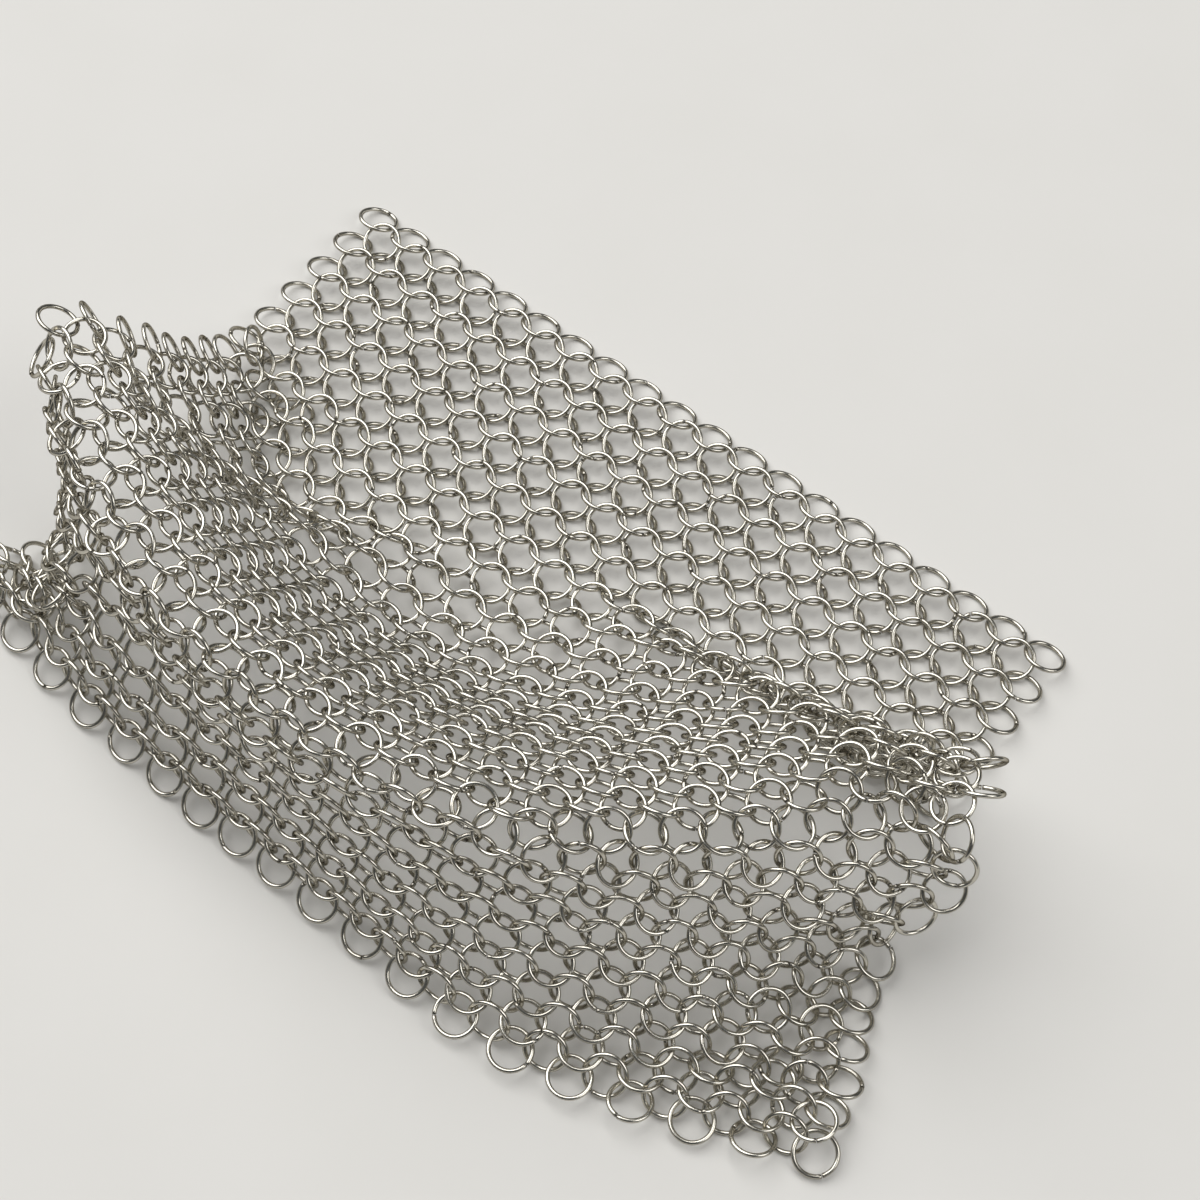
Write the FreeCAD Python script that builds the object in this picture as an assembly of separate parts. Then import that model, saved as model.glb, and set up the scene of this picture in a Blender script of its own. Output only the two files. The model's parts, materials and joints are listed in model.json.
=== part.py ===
import FreeCAD, Part
import math
import os

# Chainmail pot scrubber: a sheet of butted steel wire rings in the four-in-one weave.
# Each ring goes through two rings of the row before it and two of the row after it.
# One sub-part is one row of rings, and every ring in it is a solid of its own.
# The sheet is modelled as it lies in use: flat at its first rows, up a slope, over a
# round ridge, and down to a hem that spreads out on the surface below.
# Millimetres, +Z up, X along the first rows, Z zero on the surface that the sheet lies on.
# The origin is the middle of the sheet's box, on that surface.

Vector = FreeCAD.Vector

# Rings
ring_outside = 10.0       # outside diameter of a ring
wire = 1.0                # wire diameter
seam_gap = 0.12           # cut between the two butted ends of a ring
row_gap = 0.3             # room between neighbours in a row that lies flat
wire_room = 0.15          # least room between any two wires of the laid sheet
tilt = 25.0               # degrees that the rings of a flat row lean, to and fro by rows
seam_turn = 137.5         # degrees from one ring's seam to the next ring's

# Distances between ring centres, as shares of a ring's inside diameter
link_share = 0.88         # linked rings in the flat sheet
link_most_share = 0.89    # linked rings, pulled out
link_least_share = 0.75   # linked rings, pushed together
second_row_share = 0.775  # rings two rows apart, pushed together

# Sheet
rows = 47
row_rings = 20            # rings in the first row; every second row has one less
fold_rows = 8             # first rows, which fold one on the other
flat_rows = 11            # first rows that lie flat, the folding ones included

# Ridge that the sheet goes over: an arc in plan, seen from the middle of the first row
ridge_centre_x = -10.35
ridge_centre_y = 18.6
ridge_radius = 146.0      # plan radius of the ridge line
ridge_height = 41.0       # height of the ridge line
ridge_half = 2.1          # half the thickness of what the sheet is folded round
slope_radius = 112.0      # plan radius where the slope starts
floor_radius = 108.0      # plan radius where the flat floor ends
floor_fillet = 25.0       # radius of the hollow between floor and slope

# Where the sheet's edges lie, as degrees round the ridge centre
ridge_left_angle = 223.2
ridge_left_row = 28
ridge_right_angle = 332.4
ridge_right_row = 18
hem_left_angle = 236.0
hem_right_angle = 314.0
# The hem in plan: shares of the way along it, and how far outside the ridge line it lies there
hem_shares = (0.0, 0.3, 0.45, 0.6, 0.75, 0.95, 1.0)
hem_reaches = (32.0, 18.0, 17.0, 21.5, 37.0, 41.0, 49.0)
# The right side edge where it hangs down: how far outside the ridge line it is there, and how high
side_rows = (26, 32, 40)
side_angles = (327.0, 320.4, 317.4)
side_reaches = (9.0, 10.0, 36.0)
side_heights = (20.0, 5.0, 2.5)

# Laying the sheet: small steps of time for rings that keep their distances
pull_steps = 200          # steps in which the edges are drawn to their places
hold_steps = 350          # steps in which the sheet falls, the pull included
ease_steps = 250          # steps in which it evens out, with its edges still held
free_steps = 12           # steps in which its edges are let go
step_rounds = 3           # rounds of distance keeping in one step
step_fall = 0.05          # fall of a ring in one step
speed_share = 0.95        # share of its speed that a ring keeps from step to step
grip_share = 0.5          # share of its sliding that a ring loses where it lies on something
hang_sine_share = 0.5     # sine of the lean of the part that hangs outside the ridge
fillet_reach = 12.0       # how far past the foot of the slope the hollow is felt
fillet_depth = 3.0        # and how far below the slope

# Clearing the wires from each other
samples = 28              # points on a ring's centre line
clear_rounds = 240        # most rounds
list_rounds = 6           # rounds between two searches for near rings
watch_room = 0.35         # wires closer than this, over the room, are watched
done_room = 0.05          # how much of the room may be missing at the end
pull_share = 0.5          # share of a missing link that one round pulls through
tiny = 1e-9

# Worked out from the sizes above
ring_radius = (ring_outside - wire) / 2
wire_radius = wire / 2
ring_inside = ring_outside - 2 * wire
row_pitch = ring_outside + row_gap
row_step = math.sqrt((link_share * ring_inside) ** 2 - (row_pitch / 2) ** 2)
lean_cos = math.cos(math.radians(tilt))
lean_sin = math.sin(math.radians(tilt))
rest_height = ring_radius * lean_sin + wire_radius
ridge_round = ridge_half + rest_height
slope_length = math.hypot(ridge_radius - slope_radius, ridge_height)
slope_out = (ridge_radius - slope_radius) / slope_length
slope_up = ridge_height / slope_length
wire_distance = wire + wire_room
ring_inertia = ring_radius ** 2 / 2


class Ring:
    """One ring: its row, its place in the row, its centre and the normal of its plane."""

    def __init__(self, row, place, centre):
        self.row = row
        self.place = place
        self.centre = centre
        self.before = centre
        self.normal = Vector(0, lean_sin if row % 2 == 0 else -lean_sin, lean_cos)
        self.fixed = row < flat_rows


def rings_in(row):
    return row_rings - row % 2


def linked_places(row, place):
    """Places of the two rings that a ring goes through, in the row before and the row after."""
    return (place - 1, place) if row % 2 == 0 else (place, place + 1)


def flat_sheet():
    sheet = {}
    for row in range(rows):
        for place in range(rings_in(row)):
            x = (place - (rings_in(row) - 1) / 2) * row_pitch
            sheet[row, place] = Ring(row, place, Vector(x, -row * row_step, rest_height))
    return sheet


def links_of(sheet):
    pairs = []
    for (row, place), ring in sheet.items():
        for other in linked_places(row, place):
            if (row + 1, other) in sheet:
                pairs.append((ring, sheet[row + 1, other]))
    return pairs


def ridge_point(angle, radius, height):
    turn = math.radians(angle)
    x = ridge_centre_x + radius * math.cos(turn)
    y = ridge_centre_y + radius * math.sin(turn)
    return Vector(x, y, height)


def wrapped(centre):
    """Start place of a ring: its flat distance from the ridge centre, laid over the ridge."""
    away = math.hypot(centre.x - ridge_centre_x, centre.y - ridge_centre_y)
    angle = math.degrees(math.atan2(centre.y - ridge_centre_y, centre.x - ridge_centre_x))
    if away < slope_radius:
        return ridge_point(angle, away, rest_height)
    climb = away - slope_radius
    if climb < slope_length:
        radius = slope_radius + climb * slope_out - ridge_round * slope_up
        height = climb * slope_up + ridge_round * slope_out
        return ridge_point(angle, radius, max(height, rest_height))
    over = climb - slope_length
    bend_start = math.atan2(slope_out, -slope_up)
    if over < ridge_round * bend_start:
        bend = bend_start - over / ridge_round
        radius = ridge_radius + ridge_round * math.cos(bend)
        return ridge_point(angle, radius, ridge_height + ridge_round * math.sin(bend))
    down = over - ridge_round * bend_start
    hang = min(down, ridge_height - rest_height)
    radius = ridge_radius + ridge_round + hang * hang_sine_share + (down - hang)
    height = ridge_height - hang * math.sqrt(1 - hang_sine_share ** 2)
    return ridge_point(angle, radius, max(height, rest_height))


def between(share, shares, values):
    """The value at a share of the way, from the values at the shares that are given."""
    for low, high, start, end in zip(shares, shares[1:], values, values[1:]):
        if share <= high:
            return start + (end - start) * (share - low) / (high - low)
    return values[-1]


def edge_places(sheet):
    """Where the hem and the two side edges are drawn to, by ring."""
    places = {}
    hem = rows - 1
    last = rings_in(hem) - 1
    for place in range(last + 1):
        share = place / last
        angle = hem_left_angle + (hem_right_angle - hem_left_angle) * share
        radius = ridge_radius + between(share, hem_shares, hem_reaches)
        places[sheet[hem, place]] = ridge_point(angle, radius, rest_height)
    top = ridge_height + ridge_round
    left = sheet[ridge_left_row, 0]
    right = sheet[ridge_right_row, rings_in(ridge_right_row) - 1]
    places[left] = ridge_point(ridge_left_angle, ridge_radius, top)
    places[right] = ridge_point(ridge_right_angle, ridge_radius, top)
    for row, angle, reach, height in zip(side_rows, side_angles, side_reaches, side_heights):
        places[sheet[row, rings_in(row) - 1]] = ridge_point(angle, ridge_radius + reach, height)
    return places


def distance_limits(sheet):
    """Pairs of rings with the least and the most distance between their centres."""
    free = math.inf
    limits = []
    for ring, other in links_of(sheet):
        limits.append((ring, other, link_least_share * ring_inside, link_most_share * ring_inside))
    for (row, place), ring in sheet.items():
        if (row, place + 1) in sheet:
            limits.append((ring, sheet[row, place + 1], ring_outside + wire_room, free))
        if (row + 2, place) in sheet:
            limits.append((ring, sheet[row + 2, place], second_row_share * ring_inside, free))
    return limits


def keep_distance(ring, other, least, most):
    gap = other.centre - ring.centre
    length = gap.Length
    if least <= length <= most:
        return
    wrong = length - (most if length > most else least)
    movers = (not ring.fixed) + (not other.fixed)
    move = gap * (wrong / length / movers)
    if not ring.fixed:
        ring.centre = ring.centre + move
    if not other.fixed:
        other.centre = other.centre - move


def grip(ring):
    ring.before = ring.before + (ring.centre - ring.before) * grip_share


def keep_outside(ring):
    """Keep a ring above the floor, above the hollow and off the two sides of the ridge."""
    if ring.centre.z < rest_height:
        ring.centre = Vector(ring.centre.x, ring.centre.y, rest_height)
        grip(ring)
    x = ring.centre.x - ridge_centre_x
    y = ring.centre.y - ridge_centre_y
    away = math.hypot(x, y)
    height = ring.centre.z
    if floor_radius < away < slope_radius + fillet_reach:
        hollow = rest_height + (away - floor_radius) ** 2 / (2 * floor_fillet)
        slope_bottom = (away - slope_radius) * slope_up / slope_out - fillet_depth
        if slope_bottom < height < hollow:
            height = hollow
            ring.centre = Vector(ring.centre.x, ring.centre.y, height)
    climb = (away - slope_radius) * slope_out + height * slope_up
    if climb <= 0:
        return
    climb = min(climb, slope_length)
    out = away - slope_radius - climb * slope_out
    up = height - climb * slope_up
    distance = math.hypot(out, up)
    if distance < ridge_round:
        push = ridge_round / max(distance, tiny)
        scale = (slope_radius + climb * slope_out + out * push) / away
        height = climb * slope_up + up * push
        ring.centre = Vector(ridge_centre_x + x * scale, ridge_centre_y + y * scale, height)
        grip(ring)


def lay_over_ridge(sheet):
    """Move the rings of the flat sheet to where they lie, with the first rows left flat."""
    for ring in sheet.values():
        if not ring.fixed:
            ring.centre = wrapped(ring.centre)
            ring.before = ring.centre
    drawn = {}
    for ring, place in edge_places(sheet).items():
        drawn[ring] = (ring.centre, place)
        ring.fixed = True
    limits = distance_limits(sheet)
    fall = Vector(0, 0, -step_fall)
    keep = speed_share
    let_go = hold_steps + ease_steps
    for step in range(let_go + free_steps):
        if step == hold_steps:
            fall = Vector(0, 0, 0)
            keep = 0
        if step == let_go:
            for ring in drawn:
                ring.fixed = False
            drawn = {}
        for ring, (start, place) in drawn.items():
            ring.centre = start + (place - start) * min(step / pull_steps, 1)
            ring.before = ring.centre
        if step in (0, let_go):
            movers = [ring for ring in sheet.values() if not ring.fixed]
            held = [limit for limit in limits if not (limit[0].fixed and limit[1].fixed)]
        for ring in movers:
            speed = (ring.centre - ring.before) * keep
            ring.before = ring.centre
            ring.centre = ring.centre + speed + fall
        for _ in range(step_rounds):
            held.reverse()
            for ring, other, least, most in held:
                keep_distance(ring, other, least, most)
            for ring in movers:
                keep_outside(ring)


def middle(rings):
    return sum((ring.centre for ring in rings), Vector()) * (1 / len(rings))


def lean_rings(sheet):
    """Lean each ring to the sheet round it, one way in even rows and the other in odd rows."""
    for (row, place), ring in sheet.items():
        ring.fixed = row <= fold_rows
        if ring.fixed:
            continue
        along = sheet.get((row, place + 1), ring).centre - sheet.get((row, place - 1), ring).centre
        places = linked_places(row, place)
        above = [sheet[row - 1, other] for other in places if (row - 1, other) in sheet]
        below = [sheet[row + 1, other] for other in places if (row + 1, other) in sheet]
        if len(above) < 2 or len(below) < 2:
            above = [sheet.get((row - 2, place), ring)]
            below = [sheet.get((row + 2, place), ring)]
        along.normalize()
        upright = along.cross(middle(above) - middle(below))
        upright.normalize()
        lean = lean_sin if row % 2 == 0 else -lean_sin
        ring.normal = upright * lean_cos + upright.cross(along) * lean


def plane_axes(normal):
    side = Vector(1, 0, 0) if abs(normal.x) < abs(normal.y) else Vector(0, 1, 0)
    first = normal.cross(side)
    first.normalize()
    return first, normal.cross(first)


def line_point(ring, angle):
    first, second = plane_axes(ring.normal)
    return ring.centre + first * (ring_radius * math.cos(angle)) + second * (ring_radius * math.sin(angle))


def line_points(ring):
    first, second = plane_axes(ring.normal)
    first = first * ring_radius
    second = second * ring_radius
    turns = (math.tau * step / samples for step in range(samples))
    return [ring.centre + first * math.cos(turn) + second * math.sin(turn) for turn in turns]


def nearest(ring, points, other):
    """Where the centre lines of two rings are nearest: a point on each."""
    centre = other.centre
    normal = other.normal
    squares = []
    for point in points:
        offset = point - centre
        height = offset.dot(normal)
        radial = math.sqrt(max(offset.dot(offset) - height * height, 0)) - ring_radius
        squares.append(radial * radial + height * height)
    low = squares.index(min(squares))
    before = squares[low - 1]
    after = squares[(low + 1) % samples]
    bend = before - 2 * squares[low] + after
    shift = (before - after) / (2 * bend) if bend > tiny else 0
    point = line_point(ring, math.tau * (low + shift) / samples)
    offset = point - centre
    radial = offset - normal * offset.dot(normal)
    radial.normalize()
    return point, centre + radial * ring_radius


def goes_through(ring, other):
    """Whether the other ring passes once through the disc of this ring."""
    first, second = plane_axes(other.normal)
    a = ring_radius * first.dot(ring.normal)
    b = ring_radius * second.dot(ring.normal)
    offset = (other.centre - ring.centre).dot(ring.normal)
    swing = math.hypot(a, b)
    if swing <= abs(offset):
        return False
    phase = math.atan2(b, a)
    half = math.acos(-offset / swing)
    hits = [line_point(other, angle) - ring.centre for angle in (phase + half, phase - half)]
    return sum(hit.Length < ring_radius for hit in hits) == 1


def near_pairs(rings, reach):
    cells = {}
    for number, ring in enumerate(rings):
        key = tuple(int(value // reach) for value in ring.centre)
        cells.setdefault(key, []).append(number)
    steps = (-1, 0, 1)
    around = [(i, j, k) for i in steps for j in steps for k in steps]
    pairs = []
    for (x, y, z), numbers in cells.items():
        for i, j, k in around:
            for second in cells.get((x + i, y + j, z + k), ()):
                for first in numbers:
                    if first < second:
                        pairs.append((rings[first], rings[second]))
    return [(a, b) for a, b in pairs if (a.centre - b.centre).Length < reach]


def push(ring, move, arm):
    """Shift a ring and turn it, as a push at the end of an arm from its centre does."""
    ring.centre = ring.centre + move
    turn = arm.cross(move) * (1 / ring_inertia)
    ring.normal = ring.normal + turn.cross(ring.normal)
    ring.normal.normalize()


def ease_of(ring, arm, way):
    """How easily a ring gives way at the end of an arm."""
    lever = arm.cross(way)
    return 0 if ring.fixed else 1 + lever.dot(lever) / ring_inertia


def clear_wires(sheet):
    """Push wires apart until all have room, and pull rings through that lost their link."""
    rings = list(sheet.values())
    links = set(links_of(sheet))
    watched = []
    for number in range(clear_rounds):
        search = number % list_rounds == 0
        pairs = near_pairs(rings, 2 * ring_radius + wire_distance) if search else watched
        pairs = [pair for pair in pairs if not (pair[0].fixed and pair[1].fixed)]
        watched = []
        worst = wire_distance
        points = {}
        for ring, other in pairs:
            if ring not in points:
                points[ring] = line_points(ring)
            here, there = nearest(ring, points[ring], other)
            way = here - there
            distance = way.Length
            linked = (ring, other) in links
            close = linked or distance < 3 * wire_distance
            lost = close and linked != goes_through(ring, other)
            if lost or distance < wire_distance + watch_room:
                watched.append((ring, other))
            if distance >= wire_distance and not lost:
                continue
            worst = 0 if lost else min(worst, distance)
            way = way * (1 / max(distance, tiny))
            arm = here - ring.centre
            other_arm = there - other.centre
            ease = ease_of(ring, arm, way) + ease_of(other, other_arm, way)
            apart = -(wire_distance + distance) * pull_share if lost else wire_distance - distance
            for mover, lever, move in ((ring, arm, apart / ease), (other, other_arm, -apart / ease)):
                if not mover.fixed:
                    push(mover, way * move, lever)
                    points.pop(mover, None)
        for ring in rings:
            low = ring_radius * math.sqrt(max(1 - ring.normal.z ** 2, 0)) + wire_radius
            if ring.centre.z < low and not ring.fixed:
                ring.centre = Vector(ring.centre.x, ring.centre.y, low)
        if search and worst > wire_distance - done_room:
            break
    print("rounds of clearing", number + 1, "least room between wires", round(worst - wire, 3))


def ring_size(ring):
    """Half sizes of a ring's box."""
    return Vector(*(ring_radius * math.sqrt(max(1 - n * n, 0)) + wire_radius for n in ring.normal))


def centre_sheet(sheet):
    """Move the sheet so that the origin is the middle of its box, in plan."""
    low = [ring.centre - ring_size(ring) for ring in sheet.values()]
    high = [ring.centre + ring_size(ring) for ring in sheet.values()]
    x = (min(corner.x for corner in low) + max(corner.x for corner in high)) / 2
    y = (min(corner.y for corner in low) + max(corner.y for corner in high)) / 2
    for ring in sheet.values():
        ring.centre = ring.centre - Vector(x, y, 0)


def butted_ring():
    """A ring about Z, bent from round wire, with its two ends butted."""
    section = Part.Circle(Vector(ring_radius, 0, 0), Vector(0, 1, 0), wire_radius)
    face = Part.Face(Part.Wire(section.toShape()))
    return face.revolve(Vector(), Vector(0, 0, 1), 360 - math.degrees(seam_gap / ring_radius))


def placed_ring(pattern, ring, number):
    first, second = plane_axes(ring.normal)
    lie = FreeCAD.Rotation(first, second, ring.normal, "ZXY")
    spin = FreeCAD.Rotation(Vector(0, 0, 1), seam_turn * number)
    place = FreeCAD.Placement(ring.centre, lie.multiply(spin))
    return pattern.transformed(place.toMatrix(), True)


def print_hinges(sheet):
    """Fold lines between the first rows: ridges after even rows, valleys after odd rows."""
    for row in range(fold_rows):
        centre = sheet[row, 0].centre
        rise = row_step / 2 * lean_sin / lean_cos
        height = centre.z + (rise if row % 2 == 0 else -rise)
        print("fold line after row", row + 1, "y", round(centre.y - row_step / 2, 4), "z", round(height, 4))


def build():
    os.makedirs("parts", exist_ok=True)
    sheet = flat_sheet()
    lay_over_ridge(sheet)
    lean_rings(sheet)
    clear_wires(sheet)
    centre_sheet(sheet)
    print_hinges(sheet)
    pattern = butted_ring()
    for row in range(rows):
        solids = []
        for place in range(rings_in(row)):
            solids.append(placed_ring(pattern, sheet[row, place], row * row_rings + place))
        Part.makeCompound(solids).exportStep("parts/ring_row_%02d.step" % (row + 1))


build()
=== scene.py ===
import json
import math

import bpy
import numpy as np
from mathutils import Matrix, Vector


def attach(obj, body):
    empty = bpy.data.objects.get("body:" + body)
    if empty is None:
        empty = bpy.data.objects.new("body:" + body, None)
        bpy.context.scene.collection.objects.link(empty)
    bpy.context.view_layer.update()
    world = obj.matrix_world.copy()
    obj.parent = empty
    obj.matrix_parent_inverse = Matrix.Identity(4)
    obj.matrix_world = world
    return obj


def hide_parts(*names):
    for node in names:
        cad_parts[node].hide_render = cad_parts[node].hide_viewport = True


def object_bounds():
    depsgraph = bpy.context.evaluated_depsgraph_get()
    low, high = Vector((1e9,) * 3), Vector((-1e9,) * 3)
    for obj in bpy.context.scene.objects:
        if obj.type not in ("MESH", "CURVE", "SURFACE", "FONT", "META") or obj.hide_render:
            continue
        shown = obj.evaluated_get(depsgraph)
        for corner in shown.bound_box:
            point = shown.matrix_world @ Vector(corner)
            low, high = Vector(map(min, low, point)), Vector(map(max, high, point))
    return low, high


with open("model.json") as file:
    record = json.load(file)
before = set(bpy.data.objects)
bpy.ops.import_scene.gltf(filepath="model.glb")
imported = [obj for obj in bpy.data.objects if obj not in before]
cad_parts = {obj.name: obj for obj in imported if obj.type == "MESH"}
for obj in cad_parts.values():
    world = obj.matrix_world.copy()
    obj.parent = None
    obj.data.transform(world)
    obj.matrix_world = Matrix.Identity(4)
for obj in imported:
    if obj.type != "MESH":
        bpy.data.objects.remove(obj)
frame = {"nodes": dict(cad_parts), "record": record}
cad_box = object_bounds()

MM = 0.001

# Wire and rings, in metres, as the solids have them
wire_radius = 0.5 * MM
ring_radius = 4.5 * MM
ring_stations = 44          # sections along the wire of one ring
wire_sides = 10             # points round the wire
seam_width = 0.14 * MM      # open cut between the butted ends
end_bevel = 0.10 * MM       # length of the rounded edge at a sheared end
end_bevel_share = 0.80      # wire left at the very end
end_reach = 1.3 * MM        # length over which an end can stand off its circle
end_offset = 0.05 * MM      # usual stand-off of an end, across the ring
oval_share = 0.004          # rings are out of round by this share of their radius
dull_reach = 0.25 * MM      # length over which the cutter has dulled the wire at an end
tone_range = (0.2, 1.0)     # how dark a ring may be, as a share of the darker steel
map_shift = 37.0            # from one ring's stretch of the wire map to the next, in millimetres
weld_distance = 0.001 * MM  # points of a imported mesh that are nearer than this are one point
end_face_least = 0.9        # a face this square to the wire is one of its two ends

# Marks on the wire, as repeats in a millimetre along it and round it
die_lines = (0.25, 5.0, 1.0)
rub_marks = (0.5, 0.6, 1.0)

# Stage and lamps, in metres and watts; a lamp's place is to the right of, beyond and above the object
floor_half = 6.0
mottle_size = 40 * MM
key_place, key_size, key_power = (-1.75, 1.93, 3.85), 5.60, 306.0
fill_place, fill_size, fill_power = (2.80, -1.05, 3.15), 2.80, 61.0
studio_strength = 0.28

# The photograph's camera
camera_target = Vector((4.29, 23.58, 0.0)) * MM
camera_distance = 524.7 * MM
camera_azimuth = math.radians(37.52)
camera_elevation = math.radians(61.63)
camera_roll = math.radians(-0.69)
camera_lens = 69.4          # on a sensor 36 wide, in Blender's own millimetres

chance = np.random.RandomState(11)


def linear(hex_colour):
    """An sRGB hex colour as the linear colour that sockets take."""
    parts = [int(hex_colour[i:i + 2], 16) / 255 for i in (1, 3, 5)]
    low = [part / 12.92 for part in parts]
    high = [((part + 0.055) / 1.055) ** 2.4 for part in parts]
    return [l if part <= 0.04045 else h for part, l, h in zip(parts, low, high)] + [1.0]


def add_node(tree, kind, values=None, links=None, **settings):
    """One shader node: settings are its properties, values its numbers, links its sources."""
    node = tree.nodes.new("ShaderNode" + kind)
    for name, value in settings.items():
        setattr(node, name, value)
    for name, value in (values or {}).items():
        node.inputs[name].default_value = value
    for name, source in (links or {}).items():
        tree.links.new(source, node.inputs[name])
    return node


def new_material(name):
    material = bpy.data.materials.new(name)
    material.use_nodes = True
    material.node_tree.nodes.clear()
    return material, material.node_tree


def drawn_stainless_wire():
    """Stainless steel wire, bright drawn through a die and coiled: fine lines run along it,
    and every ring has rubbed a little differently, so tone and gloss change from ring to ring."""
    material, tree = new_material("drawn_stainless_wire")
    place = add_node(tree, "TexCoord")
    ring = add_node(tree, "Attribute", attribute_name="ring_tone")
    end = add_node(tree, "Attribute", attribute_name="end_tone")
    # Die lines are a few hundredths of a millimetre wide; drawn five times coarser, so that they show
    lines_place = add_node(tree, "Mapping", {"Scale": die_lines}, {"Vector": place.outputs["UV"]})
    lines = add_node(tree, "TexNoise", {"Scale": 1.0, "Detail": 3.0, "Roughness": 0.6},
                     {"Vector": lines_place.outputs["Vector"]})
    # Handling marks and rubbed patches, about 2 mm long
    rub_place = add_node(tree, "Mapping", {"Scale": rub_marks}, {"Vector": place.outputs["UV"]})
    rub = add_node(tree, "TexNoise", {"Scale": 1.0, "Detail": 4.0, "Roughness": 0.55},
                   {"Vector": rub_place.outputs["Vector"]})
    tone = add_node(tree, "Math", {}, {0: ring.outputs["Fac"], 1: rub.outputs["Fac"]},
                    operation="MULTIPLY")
    steel = add_node(tree, "Mix", {"A": linear("#d6d2c7"), "B": linear("#aaa599")},
                     {"Factor": tone.outputs[0]}, data_type="RGBA")
    sheared = add_node(tree, "Mix", {"B": linear("#6d675c")},
                       {"Factor": end.outputs["Fac"], "A": steel.outputs["Result"]}, data_type="RGBA")
    gloss = add_node(tree, "MapRange", {"To Min": 0.14, "To Max": 0.30}, {"Value": rub.outputs["Fac"]})
    relief = add_node(tree, "Bump", {"Strength": 0.25, "Distance": 0.01 * MM},
                      {"Height": lines.outputs["Fac"]})
    shader = add_node(tree, "BsdfPrincipled", {"Metallic": 1.0, "Specular Tint": linear("#6a665e")},
                      {"Base Color": sheared.outputs["Result"], "Roughness": gloss.outputs["Result"],
                       "Normal": relief.outputs["Normal"]})
    add_node(tree, "OutputMaterial", {}, {"Surface": shader.outputs["BSDF"]})
    return material


def sheared_stainless_end():
    """Cut face of the same wire: sheared, so grey, rough and slightly torn."""
    material, tree = new_material("sheared_stainless_end")
    place = add_node(tree, "TexCoord")
    # Torn grain, six to a millimetre
    grain = add_node(tree, "TexNoise", {"Scale": 6.0 / MM, "Detail": 2.0},
                     {"Vector": place.outputs["Object"]})
    tone = add_node(tree, "Mix", {"A": linear("#8b867b"), "B": linear("#5d584f")},
                    {"Factor": grain.outputs["Fac"]}, data_type="RGBA")
    relief = add_node(tree, "Bump", {"Strength": 0.4, "Distance": 0.03 * MM},
                      {"Height": grain.outputs["Fac"]})
    shader = add_node(tree, "BsdfPrincipled", {"Metallic": 1.0, "Roughness": 0.5},
                      {"Base Color": tone.outputs["Result"], "Normal": relief.outputs["Normal"]})
    add_node(tree, "OutputMaterial", {}, {"Surface": shader.outputs["BSDF"]})
    return material


def matt_board():
    """Pale painted board, matt, with a faint mottle."""
    material, tree = new_material("matt_painted_board")
    place = add_node(tree, "TexCoord")
    mottle = add_node(tree, "TexNoise", {"Scale": 1 / mottle_size, "Detail": 3.0},
                      {"Vector": place.outputs["Object"]})
    tone = add_node(tree, "Mix", {"A": linear("#d8d6d2"), "B": linear("#d4d2cd")},
                    {"Factor": mottle.outputs["Fac"]}, data_type="RGBA")
    shader = add_node(tree, "BsdfPrincipled", {"Roughness": 0.7, "Specular IOR Level": 0.3},
                      {"Base Color": tone.outputs["Result"]})
    add_node(tree, "OutputMaterial", {}, {"Surface": shader.outputs["BSDF"]})
    return material


def islands(count, edges):
    """A number for each point, the same for all points that edges join."""
    labels = np.arange(count)
    while True:
        before = labels.copy()
        least = np.minimum(labels[edges[:, 0]], labels[edges[:, 1]])
        np.minimum.at(labels, edges[:, 0], least)
        np.minimum.at(labels, edges[:, 1], least)
        labels = labels[labels]
        if np.array_equal(labels, before):
            return labels


def ring_places(node):
    """Centre, normal and seam direction of every ring of a packed row, from its mesh."""
    mesh = node.data
    points = np.empty(len(mesh.vertices) * 3)
    mesh.vertices.foreach_get("co", points)
    points = points.reshape(-1, 3)
    edges = np.empty(len(mesh.edges) * 2, dtype=int)
    mesh.edges.foreach_get("vertices", edges)
    merged = np.unique(np.round(points / weld_distance), axis=0, return_inverse=True)[1].reshape(-1)
    labels = islands(merged.max() + 1, merged[edges.reshape(-1, 2)])[merged]
    normals = np.empty(len(mesh.polygons) * 3)
    centres = np.empty(len(mesh.polygons) * 3)
    mesh.polygons.foreach_get("normal", normals)
    mesh.polygons.foreach_get("center", centres)
    normals, centres = normals.reshape(-1, 3), centres.reshape(-1, 3)
    first_corner = np.array([polygon.vertices[0] for polygon in mesh.polygons])
    face_labels = labels[first_corner]
    places = []
    for label in np.unique(labels):
        cloud = points[labels == label]
        middle = cloud.mean(axis=0)
        axes = np.linalg.svd(cloud - middle, full_matrices=False)[2]
        flat = (cloud - middle) @ axes[:2].T
        system = np.column_stack([2 * flat, np.ones(len(flat))])
        fit = np.linalg.lstsq(system, (flat ** 2).sum(axis=1), rcond=None)[0]
        centre = middle + fit[0] * axes[0] + fit[1] * axes[1]
        normal = np.cross(axes[0], axes[1])
        mine = face_labels == label
        spokes = centres[mine] - centre
        spokes /= np.linalg.norm(spokes, axis=1)[:, None]
        square = np.abs(np.einsum("ij,ij->i", normals[mine], np.cross(normal, spokes)))
        seam = spokes[square > end_face_least].mean(axis=0)
        seam -= normal * (seam @ normal)
        places.append((centre, normal, seam / np.linalg.norm(seam)))
    places.sort(key=lambda place: place[0][0])
    return places


def wire_sections():
    """Angles along the ring from its seam, each with the share of the wire that is left there."""
    half = seam_width / 2 / ring_radius
    bevel = end_bevel / ring_radius
    even = np.linspace(half + bevel, math.tau - half - bevel, ring_stations)
    angles = np.concatenate([[half], even, [math.tau - half]])
    shares = np.concatenate([[end_bevel_share], np.ones(ring_stations), [end_bevel_share]])
    return angles, shares


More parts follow.
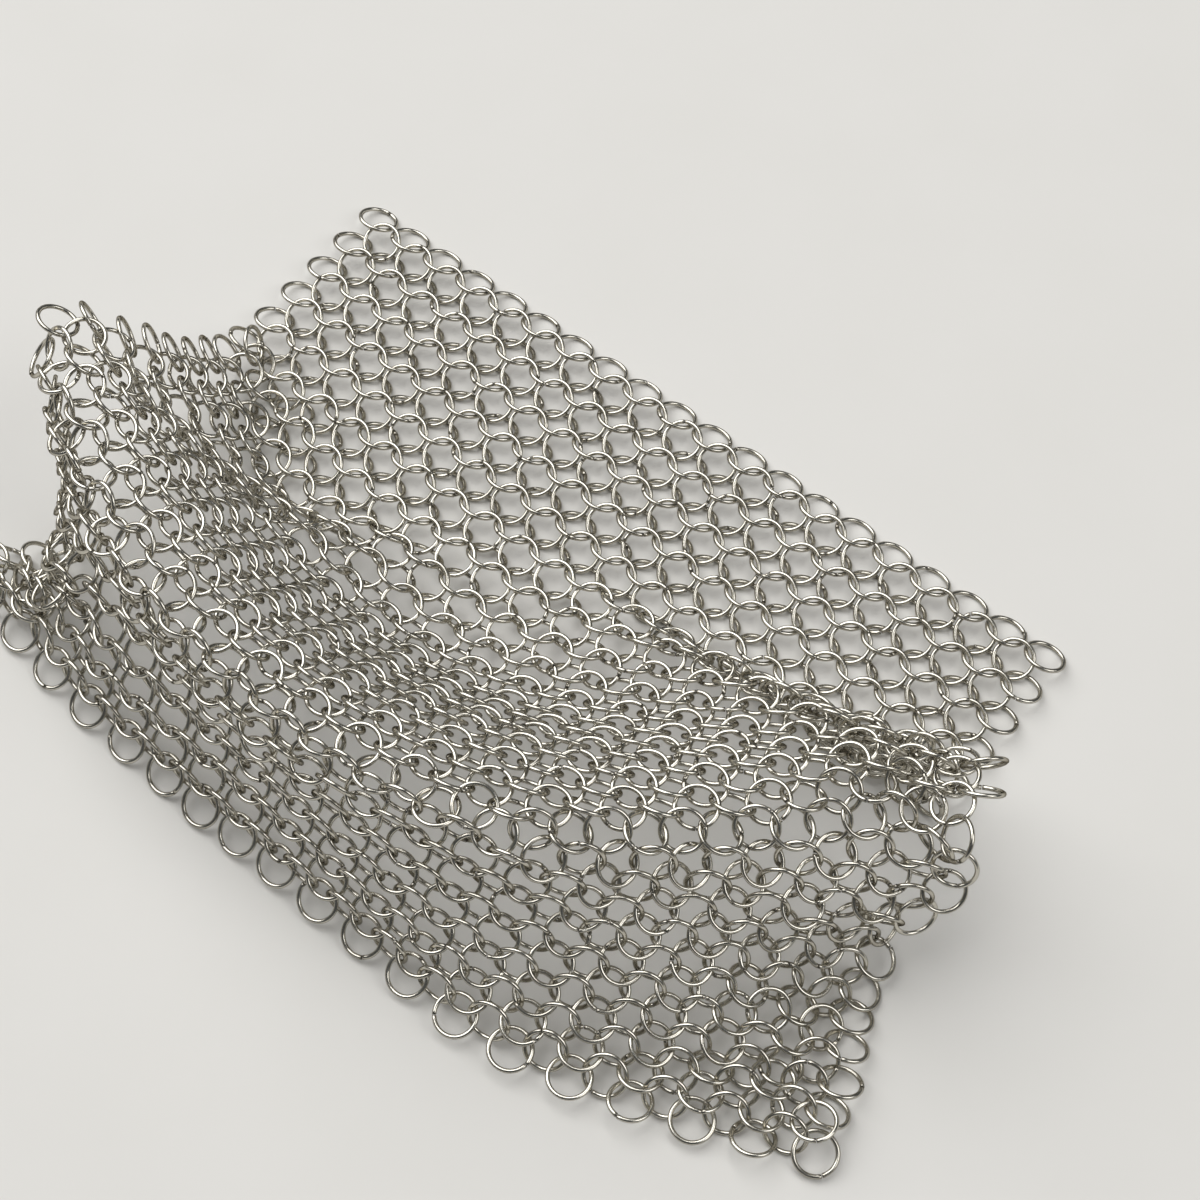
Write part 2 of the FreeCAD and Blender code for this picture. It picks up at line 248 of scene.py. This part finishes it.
def bent_wire(centre, normal, seam, oval, across, outward):
    """Points of one ring's wire, section by section. Its end stands off its circle."""
    angles, shares = wire_sections()
    side = np.cross(normal, seam)
    spokes = np.outer(np.cos(angles), seam) + np.outer(np.sin(angles), side)
    from_start = np.exp(-angles * ring_radius / end_reach)
    from_end = np.exp(-(math.tau - angles) * ring_radius / end_reach)
    lift = across * (from_start - from_end)
    radius = ring_radius * (1 + oval * np.cos(2 * angles)) + outward * from_end
    turns = np.arange(wire_sides) * math.tau / wire_sides
    out = radius[:, None] + wire_radius * np.outer(shares, np.cos(turns))
    up = lift[:, None] + wire_radius * np.outer(shares, np.sin(turns))
    return centre + out[:, :, None] * spokes[:, None, :] + up[:, :, None] * normal


def ring_points(centre, normal, seam):
    """One ring, slightly out of round and with its ends not quite in line. A ring that would
    leave the solids' box that way, such as one that lies on the floor, stays true, and loses
    the few thousandths by which it is rounder than its solid's mesh."""
    oval = chance.uniform(-oval_share, oval_share)
    across, outward = chance.normal(0, end_offset, 2)
    points = bent_wire(centre, normal, seam, oval, across, abs(outward))
    flat = points.reshape(-1, 3)
    if np.any(flat.min(axis=0) < cad_box[0]) or np.any(flat.max(axis=0) > cad_box[1]):
        points = np.clip(bent_wire(centre, normal, seam, 0, 0, 0), cad_box[0], cad_box[1])
    return points


def ring_faces(stations):
    """Quads of one ring's wire, then its two end faces, by point number."""
    quads = []
    for station in range(stations - 1):
        for side in range(wire_sides):
            after = (side + 1) % wire_sides
            low, high = station * wire_sides, (station + 1) * wire_sides
            quads.append((low + side, high + side, high + after, low + after))
    start = tuple(range(wire_sides))
    last = (stations - 1) * wire_sides
    end = tuple(last + side for side in reversed(range(wire_sides)))
    return quads, [start, end]


def wire_row(name, places, wire, cut):
    """All rings of one row as one mesh: butted wire rings with sheared ends."""
    angles, _ = wire_sections()
    stations = len(angles)
    quads, ends = ring_faces(stations)
    points, faces, is_end, tones = [], [], [], []
    for number, place in enumerate(places):
        first = number * stations * wire_sides
        points.append(ring_points(*place).reshape(-1, 3))
        faces += [tuple(first + corner for corner in face) for face in quads + ends]
        is_end += [False] * len(quads) + [True] * len(ends)
        tones.append(np.full(stations * wire_sides, chance.uniform(*tone_range)))
    mesh = bpy.data.meshes.new(name)
    mesh.from_pydata(np.concatenate(points).tolist(), [], faces)
    mesh.materials.append(wire)
    mesh.materials.append(cut)
    mesh.polygons.foreach_set("material_index", np.array(is_end, dtype=np.int32))
    mesh.polygons.foreach_set("use_smooth", ~np.array(is_end))
    ring_tone = mesh.attributes.new("ring_tone", "FLOAT", "POINT")
    ring_tone.data.foreach_set("value", np.concatenate(tones))
    to_end = np.minimum(angles, math.tau - angles) * ring_radius
    dull = np.repeat(np.exp(-to_end / dull_reach), wire_sides)
    end_tone = mesh.attributes.new("end_tone", "FLOAT", "POINT")
    end_tone.data.foreach_set("value", np.tile(dull, len(places)))
    add_wire_map(mesh, angles, len(places))
    row = bpy.data.objects.new(name, mesh)
    bpy.context.scene.collection.objects.link(row)
    return row


def add_wire_map(mesh, angles, rings):
    """UV in millimetres: along the wire and round it. Each ring has its own stretch of the map."""
    along = np.repeat(angles * ring_radius / MM, wire_sides)
    round_wire = np.tile(np.arange(wire_sides) * math.tau * wire_radius / wire_sides / MM, len(angles))
    shift = np.repeat(np.arange(rings) * map_shift, len(along))
    point_map = np.column_stack([np.tile(along, rings) + shift, np.tile(round_wire, rings) + shift])
    corners = np.empty(len(mesh.loops), dtype=np.int32)
    mesh.loops.foreach_get("vertex_index", corners)
    layer = mesh.uv_layers.new(name="wire_map")
    layer.data.foreach_set("uv", point_map[corners].reshape(-1))


def dress_rows():
    """Replace each packed row by its finished wire rings, on the same body."""
    wire = drawn_stainless_wire()
    cut = sheared_stainless_end()
    for body, nodes in frame["record"]["behaviour"]["bodies"].items():
        for node in sorted(nodes):
            places = ring_places(frame["nodes"][node])
            row = wire_row(node.replace("ring_row", "wire_rings"), places, wire, cut)
            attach(row, body)
            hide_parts(node)


def make_floor():
    mesh = bpy.data.meshes.new("floor")
    corners = [(x * floor_half, y * floor_half, 0) for x, y in ((-1, -1), (1, -1), (1, 1), (-1, 1))]
    mesh.from_pydata(corners, [], [(0, 1, 2, 3)])
    mesh.materials.append(matt_board())
    floor = bpy.data.objects.new("floor", mesh)
    bpy.context.scene.collection.objects.link(floor)


def camera_axes():
    """Ground directions of the view: to its right, and away from the camera."""
    right = Vector((math.cos(camera_azimuth), math.sin(camera_azimuth), 0))
    away = Vector((-math.sin(camera_azimuth), math.cos(camera_azimuth), 0))
    return right, away


def make_camera():
    right, away = camera_axes()
    forward = away * math.cos(camera_elevation) - Vector((0, 0, 1)) * math.sin(camera_elevation)
    lens = bpy.data.cameras.new("camera")
    lens.lens = camera_lens
    lens.sensor_width = 36
    lens.clip_start, lens.clip_end = 0.01, 50
    camera = bpy.data.objects.new("camera", lens)
    up = right.cross(forward)
    turned = Matrix.Rotation(camera_roll, 3, forward)
    axes = Matrix((turned @ right, turned @ up, -forward)).transposed()
    camera.matrix_world = Matrix.Translation(camera_target - forward * camera_distance) @ axes.to_4x4()
    bpy.context.scene.collection.objects.link(camera)
    bpy.context.scene.camera = camera


def add_softbox(name, place, size, power):
    """A square area lamp that faces the object, placed to the right of, beyond and above it."""
    right, away = camera_axes()
    lamp = bpy.data.lights.new(name, "AREA")
    lamp.size = size
    lamp.energy = power
    box = bpy.data.objects.new(name, lamp)
    box.location = right * place[0] + away * place[1] + Vector((0, 0, place[2]))
    box.rotation_euler = (-Vector(box.location)).to_track_quat("-Z", "Y").to_euler()
    bpy.context.scene.collection.objects.link(box)


def make_light():
    add_softbox("key_softbox", key_place, key_size, key_power)
    add_softbox("fill_softbox", fill_place, fill_size, fill_power)
    world = bpy.data.worlds.new("studio")
    world.use_nodes = True
    background = world.node_tree.nodes["Background"]
    background.inputs["Color"].default_value = linear("#8f9294")
    background.inputs["Strength"].default_value = studio_strength
    bpy.context.scene.world = world
    bpy.context.scene.view_settings.view_transform = "Standard"


dress_rows()
make_floor()
make_camera()
make_light()
